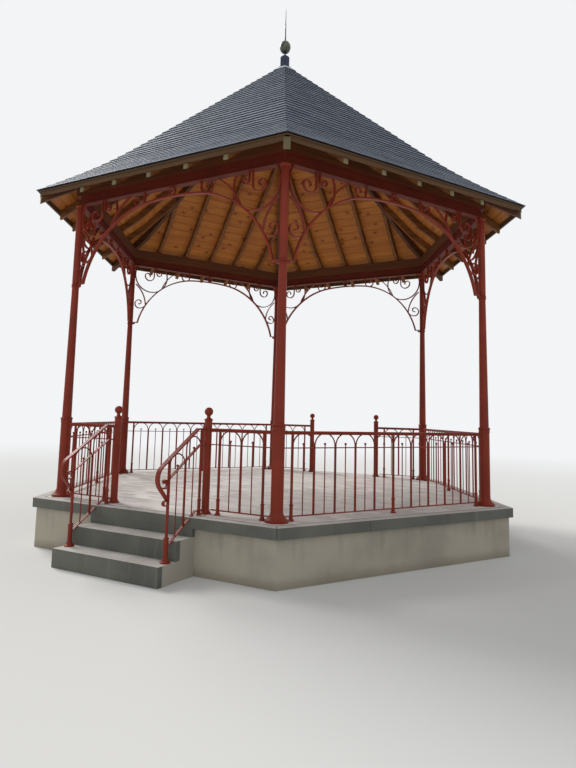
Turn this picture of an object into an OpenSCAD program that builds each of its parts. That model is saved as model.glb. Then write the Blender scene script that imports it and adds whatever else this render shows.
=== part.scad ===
// Six-sided bandstand: rendered plinth and stair, iron columns, railings and arches,
// and a slated pyramid roof with a bell-cast eave. Millimetres, +Z up, ground at z = 0.
// The stair side faces -Y. Column 1 and side 1 are at its left end, and both run on
// anticlockwise seen from above.

/* [Plan] */
// Length of one side of the hexagon, between column centres
side = 3000; // [2800:10:3400]
// Way in, between the centres of its two newel posts
opening_w = 1288; // [1160:4:1400]

/* [Plinth and stair] */
// Height of one step
riser_h = 190; // [160:5:200]
// Depth of one tread
tread_d = 250; // [230:5:320]
// How far the steps stand past the newels at each end
stair_side = 56; // [54:2:120]
// How far the outer edge of the coping stands outside the column line
coping_out = 282; // [250:2:340]
// Width of a coping stone
coping_w = 120; // [90:5:130]
// Thickness of a coping stone
coping_t = 110; // [70:5:140]
// How far the coping oversails the wall below it
oversail = 45; // [15:5:70]
// Thickness of the paving and its bed
paving_t = 90; // [60:5:140]

/* [Columns] */
// Diameter of the column's spreading base
base_d = 235; // [200:5:280]
// Height of the base
base_h = 112; // [80:2:160]
// Diameter of the lower shaft
lower_d = 126; // [110:2:140]
// Height of the collar on top of the lower shaft
collar_h = 955; // [920:5:1040]
// Diameter of the tapering shaft where it leaves the collar
middle_d = 112; // [96:2:120]
// Diameter of the tapering shaft at its top
neck_d = 84; // [70:2:90]
// Height of the double ring that the arches spring from
ring_h = 2608; // [2400:4:2800]
// Diameter of the top shaft, above the double ring
upper_d = 89; // [76:1:96]
// Height of the underside of the steel ring beam
soffit_h = 3655; // [3500:5:3900]
// Reach of the lug that carries the foot of an arch, from the column's axis
lug_reach = 78; // [70:2:100]

/* [Railing] */
// Height of the top of the handrail above the floor
rail_h = 885; // [820:5:1000]
// Height of the middle rail
mid_h = 716; // [620:2:740]
// Height of the bottom rail
low_h = 48; // [40:2:100]
// Width of the handrail
hand_w = 46; // [36:2:60]
// Thickness of the handrail
hand_t = 16; // [10:1:24]
// Width of the flat middle and bottom rails
flat_w = 32; // [26:1:40]
// Thickness of the flat middle and bottom rails
flat_t = 10; // [6:1:14]
// Diameter of the rod that the hairpins are bent from
hairpin_d = 14; // [11:1:16]
// Diameter of the short bar in the middle of a hairpin
short_bar_d = 12; // [8:1:16]
// Diameter of the bead on top of a short bar
bead_d = 27; // [20:1:34]
// Diameter of a foot post
post_d = 28; // [24:1:34]
// Diameter of the sleeve round the lower part of a foot post
sleeve_d = 34; // [32:1:44]
// Height of the sleeve
sleeve_h = 160; // [130:5:240]
// Diameter of the foot of a foot post
foot_d = 60; // [52:2:80]
// Distance of the outer foot posts from the column's axis
post_in = 165; // [150:1:190]
// Gap between a newel post and the free end of the bottom rail
low_end_gap = 30; // [15:1:50]
// Diameter of a newel post
newel_d = 80; // [66:1:86]
// Diameter of the ball on a newel post
ball_d = 92; // [70:2:110]
// Height of a newel post with its ball
newel_h = 1105; // [1040:5:1200]

/* [Stair rail] */
// Distance of the upper post outside the column line
upper_post_out = 113; // [100:1:125]
// Distance of the lower post behind the nose of the bottom step
lower_post_in = 169; // [90:1:180]
// Height of the handrail over the bottom step, at the lower post
lower_rail_h = 983; // [900:5:1040]
// Distance past the upper post at which the rails turn down
bend_out = 67; // [50:1:90]
// Diameter of the lower post
lower_post_d = 30; // [26:1:40]
// Diameter of the sleeve on the lower post
lower_sleeve_d = 48; // [42:1:56]
// Height of the sleeve on the lower post
lower_sleeve_h = 232; // [180:4:300]
// Diameter of the foot of the lower post
lower_foot_d = 104; // [80:2:108]
// Radius of the sweep at the end of the handrail
sweep_r = 135; // [125:1:145]
// Distance past the lower post at which the sweep starts
sweep_out = 105; // [98:1:115]
// Radius of the curl inside the sweep
curl_r = 40; // [34:1:42]

/* [Arches] */
// Distance of the arch from the column's axis at its widest
arch_in = 93; // [80:1:110]
// Radius of the haunch of the arch
haunch_r = 1175; // [1100:5:1180]
// Height of the crown over the centre of the haunch
arch_rise = 1187; // [1184:1:1240]
// Gap between the crown of the arch and the beam
crown_gap = 107; // [90:1:140]
// Thickness of the arch bar
arch_t = 20; // [14:1:26]
// Thickness of a scroll bar
scroll_t = 14; // [9:1:18]
// Width of the arch bar across the bay
arch_w = 40; // [30:1:60]
// Width of a scroll bar across the bay
scroll_w = 30; // [20:1:40]

/* [Beam and roof] */
// Depth of the steel beam
beam_d = 130; // [100:5:180]
// Width of its flanges
beam_w = 90; // [70:2:120]
// Thickness of its flanges
flange_t = 10; // [6:1:16]
// Thickness of its web
web_t = 8; // [5:1:14]
// Width of the timber wall plate
plate_w = 100; // [80:5:130]
// Height of the timber wall plate
plate_h = 150; // [75:5:180]
// Pitch of the roof below the break
lower_pitch = 36.6; // [34:0.1:42]
// Pitch of the roof above the break
upper_pitch = 45.2; // [43:0.1:50]
// Distance of the break inside the column line
break_in = 225; // [150:5:400]
// Distance of the slate edge outside the column line
eave_out = 475; // [440:5:560]
// Distance of the rafter ends outside the column line
tail_out = 422; // [340:2:430]
// Thickness of the slating
slate_t = 18; // [10:1:30]
// Thickness of the boards under the slates
board_t = 24; // [18:1:32]
// Depth of a rafter
rafter_d = 94; // [70:2:120]
// Width of a rafter
rafter_w = 55; // [44:1:75]
// Spacing of the rafters
rafter_gap = 515; // [480:5:540]
// Width of a hip rafter
hip_w = 70; // [50:1:72]
// Depth of a hip rafter
hip_d = 110; // [80:2:130]
// Height of the eave board on the rafter ends
eave_board_h = 58; // [30:2:90]
// Thickness of the eave board
eave_board_t = 22; // [16:1:30]

/* [Finial] */
// Width of the six-sided king post, across its flats
king_w = 160; // [156:2:180]
// Length of the king post
king_len = 460; // [360:10:600]
// Width of the foot of the pedestal, across its flats
foot_w = 190; // [186:2:220]
// Width of the pedestal, across its flats
pedestal_w = 142; // [110:2:160]
// Height of the pedestal over the slates
pedestal_h = 236; // [180:4:300]
// Length of the neck between pedestal and ball
neck_len = 38; // [24:1:60]
// Width of the oval ball
oval_w = 175; // [140:5:220]
// Height of the oval ball
oval_h = 214; // [170:2:260]
// Diameter of the spike at its foot
spike_d = 24; // [16:1:32]
// Length of the spike
spike_len = 550; // [400:10:700]

/* [Hidden] */

$fn = 48;
SIDES = 6;
TURN = 360 / SIDES;
HALF_TURN = TURN / 2;
RISERS = 3;
IRON = [0.45, 0.10, 0.09];
TIMBER = [0.24, 0.13, 0.08];
SLATE = [0.30, 0.36, 0.44];
STONE = [0.60, 0.60, 0.58];

// Clearance between pieces that meet on a curve, and width of a mortar joint or mitre
fit = 0.3;
joint = 2;
// Overlap of parts of one welded or cast piece
weld = 2;

floor_z = RISERS * riser_h;
column_line = side * cos(HALF_TURN);
coping_line = column_line + coping_out;
paving_line = coping_line - coping_w;
wall_line = coping_line - oversail;
stair_w = opening_w + 2 * stair_side;
far = 2 * side;

// Prism on the hexagon whose sides lie at distance a from the axis
module hexagon(a, z0, z1)
  translate([0, 0, z0])
    cylinder(r = a / cos(HALF_TURN), h = z1 - z0, $fn = SIDES);

// Moves a piece to side n: x along the side, -y outwards, z above the floor
module on_side(n)
  rotate([0, 0, TURN * (n - 1)])
    translate([0, -column_line, floor_z])
      children();

// Moves a piece to column n, with x pointing outwards, z above the floor
module at_column(n)
  rotate([0, 0, TURN * (n - 1) - 2 * TURN])
    translate([side, 0, floor_z])
      children();

// Sector of side n from the axis outwards, held back from both hips by gap
module sector(n, gap, z0, z1)
  rotate([0, 0, TURN * (n - 1)])
    translate([0, -gap / sin(HALF_TURN), z0])
      linear_extrude(height = z1 - z0)
        polygon([[0, 0], [far * tan(HALF_TURN), -far], [-far * tan(HALF_TURN), -far]]);

// Plinth, paving and stair

module plinth()
  color("wheat")
    union() {
      difference() {
        hexagon(wall_line, 0, floor_z - coping_t);
        hexagon(paving_line, floor_z - paving_t, floor_z);
      }
      hexagon(paving_line, 0, floor_z - paving_t);
    }

module floor_paving()
  color("lightgray")
    hexagon(paving_line, floor_z - paving_t, floor_z);

module coping()
  color(STONE)
    for (n = [1 : SIDES])
      intersection() {
        difference() {
          hexagon(coping_line, floor_z - coping_t, floor_z);
          hexagon(paving_line, floor_z - 2 * coping_t, floor_z + coping_t);
        }
        sector(n, joint / 2, floor_z - 2 * coping_t, floor_z + coping_t);
      }

// Block of the stair with its nose out in front of the wall
module step(nose, z0, z1)
  color(STONE)
    translate([-stair_w / 2, -nose, z0])
      cube([stair_w, nose - wall_line, z1 - z0]);

// Columns

// Half section of a round bead of radius r, between heights z0 and z1
function bead(r, z0, z1) =
  [for (a = [-90 : 30 : 90]) [r - (z1 - z0) / 2 * (1 - cos(a)), (z0 + z1) / 2 + (z1 - z0) / 2 * sin(a)]];

// Radius of the spreading base at height z, from its bottom disc up to the shaft
base_disc_h = 24;
base_curve = 2.2;
function base_r(z) =
  z < base_disc_h ? base_d / 2 : lower_d / 2
  + (base_d - lower_d - 10) / 2 * pow(max(0, 1 - (z - base_disc_h) / (base_h - base_disc_h)), base_curve);

collar_bead = 30;
collar_band = 42;
collar_r = lower_d / 2 + 10;
ring_half = 26;
ring_r = upper_d / 2 + 6;
cap_t = 14;
cap_r = upper_d / 2 + 14;
lug_t = 30;
lug_w = 34;
lug_top = ring_h + lug_t / 2;

module shaft()
  rotate_extrude($fn = 64)
    polygon(concat(
      [[0, 0], [base_d / 2, 0], [base_d / 2, base_disc_h]],
      [for (i = [0 : 8]) let (z = base_disc_h + i / 8 * (base_h - base_disc_h)) [base_r(z), z]],
      [[lower_d / 2, collar_h - collar_bead - collar_band]],
      [[collar_r - 6, collar_h - collar_bead - collar_band + 8]],
      [[collar_r - 6, collar_h - collar_bead]],
      bead(collar_r, collar_h - collar_bead, collar_h),
      [[middle_d / 2, collar_h + 6], [neck_d / 2, ring_h - ring_half]],
      bead(ring_r, ring_h - ring_half, ring_h),
      bead(ring_r, ring_h, ring_h + ring_half),
      [[upper_d / 2, ring_h + ring_half + 4], [upper_d / 2, soffit_h - 2 * cap_t]],
      [[cap_r, soffit_h - cap_t], [cap_r, soffit_h], [0, soffit_h]]
    ));

module column(n)
  color(IRON)
    at_column(n)
      union() {
        shaft();
        for (turn = [-1, 1])
          rotate([0, 0, turn * 2 * TURN])
            translate([0, -lug_w / 2, lug_top - lug_t])
              cube([lug_reach, lug_w, lug_t]);
      }

// Railings

hand_z = rail_h - hand_t / 2;
leg_shift = hairpin_d / 2 - 0.5;
full_pairs = 10;
short_pairs = 2;
bar_gap = (side - 2 * post_in) / (2 * full_pairs);
hairpin_r = bar_gap - leg_shift;
spring_h = rail_h - hand_t - hairpin_d / 2 + weld - hairpin_r;
short_bar_top = mid_h + 38;
foot_h = 55;
foot_lip = 10;
post_collar = 14;

// Round bar of diameter d that stands between heights z0 and z1
module rod(x, d, z0, z1)
  translate([x, 0, z0])
    cylinder(d = d, h = z1 - z0, $fn = 24);

// Short bar from z0 up to z1, with a round bead on its end
module beaded_bar(x, z0, z1)
  let (r = bead_d / 2, dip = acos(short_bar_d / bead_d))
    translate([x, 0, 0])
      rotate_extrude($fn = 24)
        polygon(concat(
          [[0, z0], [short_bar_d / 2, z0]],
          [for (i = [0 : 6]) let (a = -dip + i * (90 + dip) / 6) [r * cos(a), z1 + r * sin(a)]]
        ));

// Flat rail from x0 to x1 with its middle at height z
module flat_rail(x0, x1, z, w, t)
  translate([x0, -w / 2, z - t / 2])
    cube([x1 - x0, w, t]);

// Bent rod from leg to leg round the middle x, over the springing height
module hairpin_bow(x, r, z)
  translate([x, 0, z])
    rotate([90, 0, 0])
      rotate_extrude(angle = 180, $fn = 48)
        translate([r, 0])
          circle(d = hairpin_d, $fn = 24);

// Foot post with its spreading foot, sleeve and collar
module foot_post(x, d, foot, sleeve, tall, top)
  translate([x, 0, 0])
    rotate_extrude($fn = 32)
      polygon([
        [0, 0], [foot / 2, 0], [foot / 2, foot_lip], [foot * 0.36, foot_h * 0.4],
        [sleeve / 2, foot_h], [sleeve / 2, tall - post_collar],
        [sleeve / 2 + 4, tall - post_collar], [sleeve / 2 + 4, tall], [d / 2, tall + 4],
        [d / 2, top], [0, top]
      ]);

// Run of hairpins between foot posts, starting at x0, with posts every `between` pairs
module hairpin_run(x0, pairs, between)
  union() {
    for (i = [0 : pairs])
      if (i % between == 0)
        foot_post(x0 + 2 * i * bar_gap, post_d, foot_d, sleeve_d, sleeve_h, hand_z);
      else
        for (s = [-1, 1])
          rod(x0 + 2 * i * bar_gap + s * leg_shift, hairpin_d, low_h, spring_h);
    for (i = [0 : pairs - 1]) {
      hairpin_bow(x0 + (2 * i + 1) * bar_gap, hairpin_r, spring_h);
      beaded_bar(x0 + (2 * i + 1) * bar_gap, low_h, short_bar_top);
    }
  }

// The three rails from x0 to x1, with the bottom one ending at low_x
module rails(x0, x1, low_x) {
  flat_rail(x0, x1, hand_z, hand_w, hand_t);
  flat_rail(x0, x1, mid_h, flat_w, flat_t);
  flat_rail(x0, low_x, low_h, flat_w, flat_t);
}

// Space of the column at x, which the ends of the rails stop at
module column_space(x)
  translate([x, 0, 0]) {
    cylinder(d = lower_d + 2 * fit, h = soffit_h, $fn = 64);
    cylinder(r = base_r(low_h - flat_t / 2) + fit, h = base_h, $fn = 64);
  }

module full_railing(n)
  color(IRON)
    on_side(n)
      difference() {
        union() {
          rails(-side / 2, side / 2, side / 2);
          hairpin_run(-side / 2 + post_in, full_pairs, full_pairs / 2);
        }
        column_space(-side / 2);
        column_space(side / 2);
      }

// Short railing between a column and the newel of a way in, at the left end of side n
module short_railing(n)
  on_side(n)
    difference() {
      union() {
        rails(-side / 2, -opening_w / 2, -opening_w / 2 - newel_d / 2 - low_end_gap);
        hairpin_run(-side / 2 + post_in, short_pairs, short_pairs);
      }
      column_space(-side / 2);
      translate([-opening_w / 2, 0, 0])
        cylinder(d = newel_d + 2 * fit, h = soffit_h, $fn = 48);
    }

newel_neck_d = 40;
newel_collar = 16;

module newel()
  rotate_extrude($fn = 48)
    polygon(concat(
      [[0, 0], [newel_d * 0.78, 0], [newel_d * 0.78, foot_lip], [newel_d * 0.6, foot_h * 0.45]],
      [[newel_d / 2, foot_h], [newel_d / 2, newel_h - ball_d - 3 * newel_collar]],
      bead(newel_d / 2 + 8, newel_h - ball_d - 3 * newel_collar, newel_h - ball_d - 2 * newel_collar),
      [[newel_neck_d / 2, newel_h - ball_d - newel_collar], [newel_neck_d / 2, newel_h - ball_d + 4]],
      [for (a = [-60 : 10 : 90]) [ball_d / 2 * cos(a), newel_h - ball_d / 2 + ball_d / 2 * sin(a)]]
    ));

module newel_posts()
  color(IRON)
    for (n = [1, 1 + SIDES / 2])
      for (s = [-1, 1])
        on_side(n)
          translate([s * opening_w / 2, 0, 0])
            newel();

// Stair rail, drawn with x outwards from the column line and z above the floor

nose_1 = coping_line + 2 * tread_d;
tread_1 = riser_h - floor_z;
lower_post_x = nose_1 - lower_post_in - column_line;
bend_x = upper_post_out + bend_out;
fall = rail_h - (tread_1 + lower_rail_h);
slope = atan(fall / (lower_post_x - bend_x));
stair_gap = (lower_post_x - upper_post_out) / 4;
post_leg = 4;
middle_leg = hairpin_d / 2 + 0.5;
stair_hairpin_r = stair_gap - (post_leg + middle_leg) / 2;
end_angle = -45;
curl_t = 12;
curl_in_r = 15;
curl_tail_r = 140;
curl_drop = 56;
tip_r = 22;
tip_out = 12;

// The middle rail keeps its distance from the handrail, so it bends nearer to the newel
mid_bend_x = bend_x - (hand_z - mid_h) * tan(slope / 2);

// Height, at x, of a rail whose level part lies at height z and ends at the bend
function sloped(x, z, bend = bend_x) = z - max(0, x - bend) * tan(slope);

function unit(v) = v / norm(v);
function square_to(v) = [-v[1], v[0]];

// Offset at p[i] that keeps a bent bar equally thick on both sides of its path
function mitre(p, i) =
  let (u = unit(p[max(i, 1)] - p[max(i, 1) - 1]),
    v = unit(p[min(i, len(p) - 2) + 1] - p[min(i, len(p) - 2)]),
    m = square_to(unit(u + v)))
  m / (m * square_to(u));

// Outline of a bar of thickness t that follows a path
function band(p, t) = concat(
  [for (i = [0 : len(p) - 1]) p[i] + t / 2 * mitre(p, i)],
  [for (i = [len(p) - 1 : -1 : 0]) p[i] - t / 2 * mitre(p, i)]
);

// Points of an arc round c, without its first point, about `step` degrees apart
function arc(c, r, a0, a1, step) =
  let (n = ceil(abs(a1 - a0) / step))
  [for (i = [1 : n]) c + r * [cos(a0 + (a1 - a0) * i / n), sin(a0 + (a1 - a0) * i / n)]];

// Point at angle a on a circle round c
function polar(c, r, a) = c + r * [cos(a), sin(a)];

// Angle on the circle round a at which it crosses the circle round b
function crossing(a, ra, b, rb) =
  let (d = norm(b - a))
  atan2(b[1] - a[1], b[0] - a[0]) + acos((d * d + ra * ra - rb * rb) / (2 * d * ra));

// Flat bar in the x-z plane that follows a path, w wide across it
module flat_bar(path, t, w)
  rotate([90, 0, 0])
    translate([0, 0, -w / 2])
      linear_extrude(height = w)
        polygon(band(path, t));

// Springing height of the hairpin under the sloping handrail with its middle at x
function stair_spring(x) =
  sloped(x, hand_z) - (hand_t / 2 + hairpin_d / 2 - weld + stair_hairpin_r) / cos(slope);

// Hairpin with its middle at x, with one leg at a post and one beside the other hairpin
module stair_hairpin(x, leg_x) {
  hairpin_bow(x, stair_hairpin_r, stair_spring(x));
  rod(leg_x, hairpin_d, sloped(leg_x, low_h), stair_spring(x));
  beaded_bar(x, sloped(x, low_h), sloped(x, short_bar_top, mid_bend_x));
}

// Curl between the lower post and the sweep. Its tail ends on the sweep.
module sweep_curl(sweep_centre) {
  c = [lower_post_x + (lower_post_d + curl_t) / 2 + curl_r, sweep_centre[1] - curl_drop];
  tail = c + [0, curl_tail_r - curl_r];
  start = crossing(tail, curl_tail_r, sweep_centre, sweep_r - hand_t / 2 + weld);
  flat_bar(concat(
    [polar(tail, curl_tail_r, start)],
    arc(tail, curl_tail_r, start, -90, 8),
    arc(c, curl_r, -90, -270, 15),
    arc(c + [0, curl_r - curl_in_r], curl_in_r, -270, -460, 20)
  ), curl_t, flat_w);
}

// Small curl that turns out from the post where the sweep ends on it, at height z
module tip_curl(z) {
  c = [lower_post_x + lower_post_d / 2 + tip_out + tip_r, z - tip_r];
  flat_bar(concat([[lower_post_x, z]], arc(c, tip_r, 90, -110, 15)), curl_t, flat_w);
}

module stair_rail_shape() {
  sweep_x = lower_post_x + sweep_out;
  centre = [sweep_x - sweep_r * sin(slope), sloped(sweep_x, hand_z) - sweep_r * cos(slope)];
  leave = polar(centre, sweep_r, end_angle);
  end_x = lower_post_x + lower_post_d / 4;
  end_z = leave[1] - (leave[0] - end_x);
  middle_x = (upper_post_out + lower_post_x) / 2;
  difference() {
    union() {
      flat_bar(concat(
        [[0, hand_z], [bend_x, hand_z], [sweep_x, sloped(sweep_x, hand_z)]],
        arc(centre, sweep_r, 90 - slope, end_angle, 10),
        [[end_x, end_z]]
      ), hand_t, hand_w);
      for (rail = [[mid_h, mid_bend_x], [low_h, bend_x]])
        flat_bar([
          [0, rail[0]], [rail[1], rail[0]], [lower_post_x, sloped(lower_post_x, rail[0], rail[1])]
        ], flat_t, flat_w);
      foot_post(upper_post_out, post_d, foot_d * 0.9, sleeve_d, sleeve_h, hand_z);
      translate([0, 0, tread_1])
        foot_post(lower_post_x, lower_post_d, lower_foot_d, lower_sleeve_d, lower_sleeve_h,
          sloped(lower_post_x, hand_z) - tread_1);
      for (s = [-1, 1])
        stair_hairpin(middle_x + s * (middle_leg + stair_hairpin_r), middle_x + s * middle_leg);
      sweep_curl(centre);
      tip_curl(end_z);
    }
    cylinder(d = newel_d + 2 * fit, h = soffit_h, $fn = 48);
  }
}

module stair_rail(s)
  color(IRON)
    on_side(1)
      translate([s * opening_w / 2, 0, 0])
        rotate([0, 0, -90])
          stair_rail_shape();

// Arches and scrolls, drawn on a side with x from its middle

wide_x = side / 2 - arch_in;
crown_z = soffit_h - crown_gap;
haunch = [wide_x - haunch_r, crown_z - arch_rise];
crown_r = (wide_x * wide_x + arch_rise * arch_rise - 2 * wide_x * haunch_r) / (2 * (arch_rise - haunch_r));
join_angle = atan2(crown_r - arch_rise, haunch[0]);
foot_angle = asin(max(0, lug_top - haunch[1]) / haunch_r);
toe_lap = 16;
toe_t = 12;

// Path of the big three-centred bar from its foot to the middle of its crown. It starts
// with a straight leg where the lug lies below the haunch.
function arch_path() = concat(
  lug_top < haunch[1] ? [[wide_x, lug_top]] : [],
  [polar(haunch, haunch_r, foot_angle)],
  arc(haunch, haunch_r, foot_angle, join_angle, 4),
  arc([0, crown_z - crown_r], crown_r, join_angle, 90, 2)
);

// Arch bar from foot to foot, with the toes that stand on the lugs
module arch_bar() {
  half = arch_path();
  foot = half[0];
  flat_bar(concat(half, [for (i = [len(half) - 2 : -1 : 0]) [-half[i][0], half[i][1]]]), arch_t, arch_w);
  for (m = [0, 1])
    mirror([m, 0, 0])
      translate([foot[0] - arch_t / 2, -arch_w / 2, lug_top])
        cube([side / 2 - lug_reach + toe_lap - foot[0] + arch_t / 2, arch_w, toe_t]);
}

// Scroll bar that follows a path
module scroll(path)
  flat_bar(path, scroll_t, scroll_w);

// Trims a bar to the underside of the beam and the face of the column
module in_corner()
  difference() {
    children();
    translate([0, -side, soffit_h])
      cube([2 * side, 2 * side, side]);
    translate([side / 2, 0, lug_top])
      cylinder(d = upper_d + 2 * fit, h = side, $fn = 64);
  }

// Path of a hook whose stem hangs from the beam at x down to height z. It bends
// round to one side (turn = 1 is towards the column) and curls in on itself.
function hook(x, z, turn, r, curl_r) = concat(
  [[x, soffit_h], [x, z]],
  [for (p = arc([r, 0], r, 180, 360, 15)) [x + turn * p[0], z + p[1]]],
  [for (p = arc([2 * r - curl_r, 0], curl_r, 0, 200, 20)) [x + turn * p[0], z + p[1]]]
);

// Big ring in the corner between column, beam and arch
ring_r_big = 295;
ring_drop = 153;

// Hooks, from the column's axis: two inside the big ring and one over the crown
hook_in = 396;
hook_drop = 155;
hook_r = 84;
hook_curl = 46;
near_hook_in = 442;
near_hook_drop = 90;
near_hook_r = 46;
near_hook_curl = 24;
far_hook_in = 1082;
far_hook_r = 76;
far_hook_curl = 38;

// Brace from the beam to the haunch
brace_in = 870;
brace_angle = 52;
brace_r = 670;

// Long curved tie between column and haunch, and the spiral below it
tie_r = 503;
tie_out = 245;
tie_up = 565;
tie_from = 123;
tie_to = 177;
spiral_in = 140;
spiral_up = 607;
spiral_r = 74;
spiral_curl = 37;
spiral_tail_r = 131;

module half_scrolls() {
  edge = side / 2;
  ring_angle = asin(ring_drop / ring_r_big) + 4;
  ring_centre = [edge - upper_d / 2 - scroll_t / 2 - ring_r_big, soffit_h - ring_drop];
  tie_centre = [edge + tie_out, haunch[1] + tie_up];
  spiral_centre = [edge - spiral_in, haunch[1] + spiral_up];
  in_corner()
    scroll(arc(ring_centre, ring_r_big, 180 - ring_angle, 360 + ring_angle, 8));
  in_corner()
    brace();
  in_corner()
    scroll(arc(tie_centre, tie_r, tie_from, tie_to, 5));
  scroll(hook(edge - hook_in, soffit_h - hook_drop, 1, hook_r, hook_curl));
  scroll(hook(edge - near_hook_in, soffit_h - near_hook_drop, -1, near_hook_r, near_hook_curl));
  scroll(hook(edge - far_hook_in, soffit_h - far_hook_r, 1, far_hook_r, far_hook_curl));
  scroll(concat(
    arc(spiral_centre + [0, spiral_tail_r - spiral_r], spiral_tail_r, 210, 270, 10),
    arc(spiral_centre, spiral_r, -90, 90, 15),
    arc(spiral_centre + [0, spiral_r - spiral_curl], spiral_curl, 90, 290, 20)
  ));
}

// Bowed brace through its two ends, bulging upwards
module brace() {
  a = [side / 2 - brace_in, soffit_h];
  b = polar(haunch, haunch_r, brace_angle);
  swing = asin(norm(b - a) / 2 / brace_r);
  lean = atan2(b[1] - a[1], b[0] - a[0]) + 90;
  centre = (a + b) / 2 - brace_r * cos(swing) * [cos(lean), sin(lean)];
  scroll(arc(centre, brace_r, lean + swing + 2, lean - swing, 5));
}

// Ring between the crown of the arch and the beam
module crown_ring() {
  outer = (crown_gap - arch_t / 2 + weld) / 2;
  translate([0, scroll_w / 2, soffit_h - outer])
    rotate([90, 0, 0])
      difference() {
        cylinder(r = outer, h = scroll_w, $fn = 36);
        translate([0, 0, -scroll_w])
          cylinder(r = outer - scroll_t, h = 3 * scroll_w, $fn = 36);
      }
}

module arch(n)
  color(IRON)
    on_side(n)
      union() {
        arch_bar();
        for (m = [0, 1])
          mirror([m, 0, 0])
            half_scrolls();
        crown_ring();
      }

// Steel ring beam and timber plates

beam_z = floor_z + soffit_h;
plate_z = beam_z + beam_d;
plate_top = plate_z + plate_h;

module ring_beam()
  color(IRON)
    for (n = [1 : SIDES])
      intersection() {
        rotate([0, 0, TURN * (n - 1)])
          translate([0, -column_line, beam_z]) {
            translate([-far, -beam_w / 2, 0])
              cube([2 * far, beam_w, flange_t]);
            translate([-far, -beam_w / 2, beam_d - flange_t])
              cube([2 * far, beam_w, flange_t]);
            translate([-far, -web_t / 2, 0])
              cube([2 * far, web_t, beam_d]);
          }
        sector(n, joint / 2, beam_z - far, beam_z + far);
      }

// Space of the wall plates, all round
module plate_ring()
  difference() {
    hexagon(column_line + plate_w / 2, plate_z, plate_top);
    hexagon(column_line - plate_w / 2, plate_z - plate_h, plate_top + plate_h);
  }

module wall_plates()
  color(TIMBER)
    for (n = [1 : SIDES])
      intersection() {
        plate_ring();
        sector(n, joint / 2, plate_z - far, plate_z + far);
      }

// Roof. A height on the roof is given at distance a from the axis and at depth d
// under the slates, square to them.

cover_t = slate_t + board_t;
frame_t = cover_t + rafter_d;
break_line = column_line - break_in;
eave_line = column_line + eave_out;
tail_line = column_line + tail_out;
board_line = tail_line + eave_board_t;
break_z = plate_top + frame_t / cos(lower_pitch) + break_in * tan(lower_pitch);
roof_hole = foot_w / 2 + 1;

function lower_z(a, d) = break_z + (break_line - a) * tan(lower_pitch) - d / cos(lower_pitch);
function upper_z(a, d) = break_z + (break_line - a) * tan(upper_pitch) - d / cos(upper_pitch);

// Distance from the axis of the break at depth d
function break_at(d) =
  break_line - d * (1 / cos(upper_pitch) - 1 / cos(lower_pitch)) / (tan(upper_pitch) - tan(lower_pitch));

// Outline in [distance, height] of a layer from depth d0 to d1, between two distances
function layer(d0, d1, outer, inner) = [
  [outer, lower_z(outer, d0)], [break_at(d0), lower_z(break_at(d0), d0)], [inner, upper_z(inner, d0)],
  [inner, upper_z(inner, d1)], [break_at(d1), lower_z(break_at(d1), d1)], [outer, lower_z(outer, d1)]
];

// Layer outline drawn out along side n, w wide, with its middle at x
module along_side(n, x, w, outline)
  rotate([0, 0, TURN * (n - 1) - 90])
    translate([0, x - w / 2, 0])
      translate([0, w, 0])
        rotate([90, 0, 0])
          linear_extrude(height = w)
            polygon(outline);

module roof_plate(n, d0, d1, outer, gap)
  intersection() {
    along_side(n, 0, 2 * far, layer(d0, d1, outer, roof_hole));
    sector(n, gap, 0, 2 * far);
  }

module slates(n)
  color(SLATE)
    roof_plate(n, 0, slate_t, eave_line, joint / 4);

module roof_boards()
  color("peru")
    for (n = [1 : SIDES])
      roof_plate(n, slate_t, cover_t, board_line, joint / 2);

module rafters()
  color(TIMBER)
    for (n = [1 : SIDES])
      for (i = [-2 : 2])
        difference() {
          intersection() {
            along_side(n, i * rafter_gap, rafter_w, layer(cover_t, frame_t, tail_line, king_w / 2));
            sector(n, hip_w / 2, 0, 2 * far);
          }
          plate_ring();
          king_space();
        }

// Boards on edge in front of the rafter ends, between the hip rafters
module eave_boards()
  color("peru")
    for (n = [1 : SIDES])
      intersection() {
        along_side(n, 0, 2 * far, [
          [tail_line, lower_z(tail_line, cover_t)],
          [board_line, lower_z(board_line, cover_t)],
          [board_line, lower_z(tail_line, cover_t) - eave_board_h],
          [tail_line, lower_z(tail_line, cover_t) - eave_board_h]
        ]);
        sector(n, hip_w / 2, 0, 2 * far);
      }

hip_drop = hip_w / 2 * sin(HALF_TURN) * tan(upper_pitch);
hip_slope = atan(tan(lower_pitch) * cos(HALF_TURN));
hip_v = hip_d / cos(hip_slope);

// Outline of a hip rafter in [distance from the axis, height], along the hip
function hip_outline() =
  let (flat = layer(cover_t, cover_t, tail_line, king_w / 2 - 10))
  [for (i = [0 : 5]) [flat[i][0] / cos(HALF_TURN), flat[i][1] - hip_drop - (i < 3 ? 0 : hip_v)]];

module hip_rafters()
  color(TIMBER)
    for (n = [1 : SIDES])
      difference() {
        rotate([0, 0, TURN * (n - 1)])
          translate([0, hip_w / 2, 0])
            rotate([90, 0, 0])
              linear_extrude(height = hip_w)
                polygon(hip_outline());
        plate_ring();
        king_space();
      }

// King post and finial

seat_z = upper_z(roof_hole, slate_t);
foot_t = upper_z(roof_hole, 0) - seat_z + 14;
pedestal_top = upper_z(roof_hole, 0) + pedestal_h;
oval_z = pedestal_top + neck_len;

module king_space()
  hexagon(king_w / 2, seat_z - king_len, seat_z);

module king_post()
  color(TIMBER)
    king_space();

shoulder = 46;

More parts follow.
